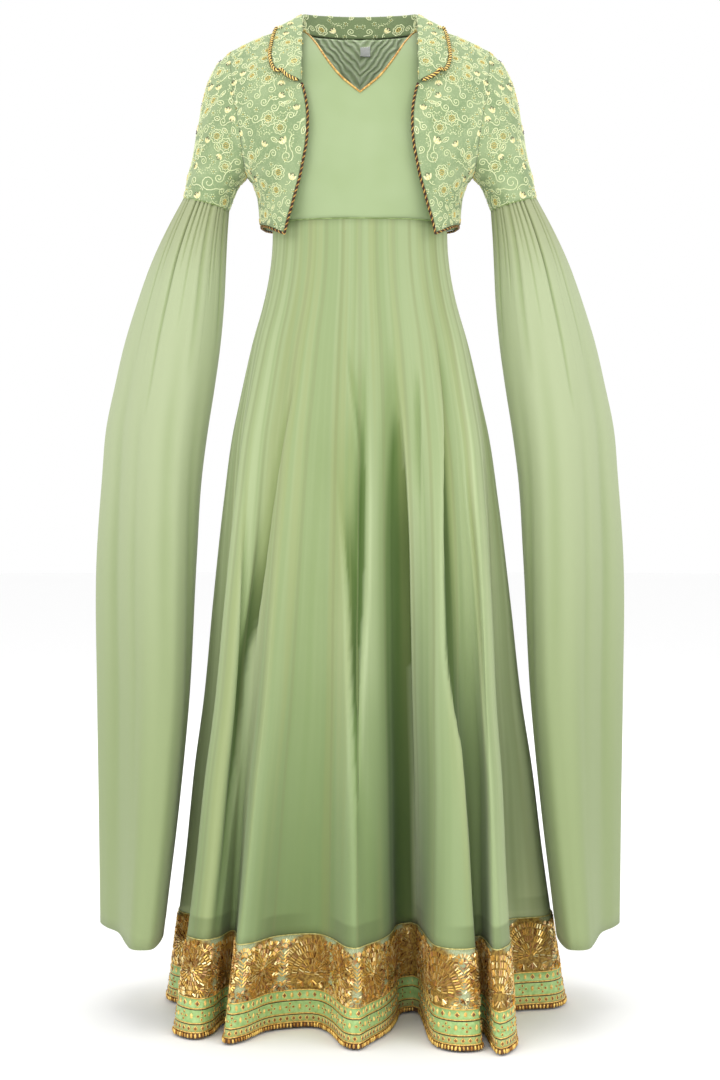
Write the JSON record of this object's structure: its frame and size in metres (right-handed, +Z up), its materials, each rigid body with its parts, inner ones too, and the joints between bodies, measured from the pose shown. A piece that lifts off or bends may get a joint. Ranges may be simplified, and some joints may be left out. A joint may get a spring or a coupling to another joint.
{
  "type": "anarkali suit with embroidered jacket",
  "caption": "floor-length panelled georgette gown with a gold beaded border under a cropped embroidered jacket with a turned collar and long flared sleeves",
  "frame": {"origin": "midway between the neck ends of the two shoulder seams, where the gown rests on the wearer's shoulders", "axes": "+Z up, the front faces -Y, +X to the right as seen from the front"},
  "size_m": [0.7668, 0.5872, 1.4384],
  "materials": {
    "georgette": "soft matt sheer crepe",
    "yoke_crepe": "soft matt crepe",
    "embroidered_cloth": "thread embroidery on matt cloth",
    "beadwork": "gold bugle beads on net",
    "brocade": "satin weave with gold thread",
    "hem_edging": "gold thread",
    "rope_trim": "twisted gold and brown thread",
    "label": "plain woven tape"
  },
  "bodies": {
    "root": {"kali_01": "georgette", "kali_02": "georgette", "kali_03": "georgette", "kali_04": "georgette", "kali_05": "georgette", "kali_06": "georgette", "kali_07": "georgette", "kali_08": "georgette", "kali_09": "georgette", "kali_10": "georgette", "kali_11": "georgette", "kali_12": "georgette", "kali_13": "georgette", "kali_14": "georgette", "kali_15": "georgette", "kali_16": "georgette", "kali_17": "georgette", "kali_18": "georgette", "kali_19": "georgette", "kali_20": "georgette", "kali_21": "georgette", "kali_22": "georgette", "kali_23": "georgette", "kali_24": "georgette", "kali_25": "georgette", "kali_26": "georgette", "kali_27": "georgette", "kali_28": "georgette", "kali_29": "georgette", "kali_30": "georgette", "kali_31": "georgette", "kali_32": "georgette", "flare_sleeve_right": "georgette", "flare_sleeve_left": "georgette", "yoke_front": "yoke_crepe", "yoke_back": "yoke_crepe", "jacket_front_right": "embroidered_cloth", "jacket_front_left": "embroidered_cloth", "jacket_back": "embroidered_cloth", "collar": "embroidered_cloth", "upper_sleeve_right": "embroidered_cloth", "upper_sleeve_left": "embroidered_cloth", "border_beadwork_front": "beadwork", "border_beadwork_back": "beadwork", "border_brocade_front": "brocade", "border_brocade_back": "brocade", "hem_edging_front": "hem_edging", "hem_edging_back": "hem_edging", "neck_piping": "rope_trim", "collar_cord": "rope_trim", "front_cord_right": "rope_trim", "front_cord_left": "rope_trim", "back_hem_cord": "rope_trim", "size_label": "label"}
  },
  "joints": []
}
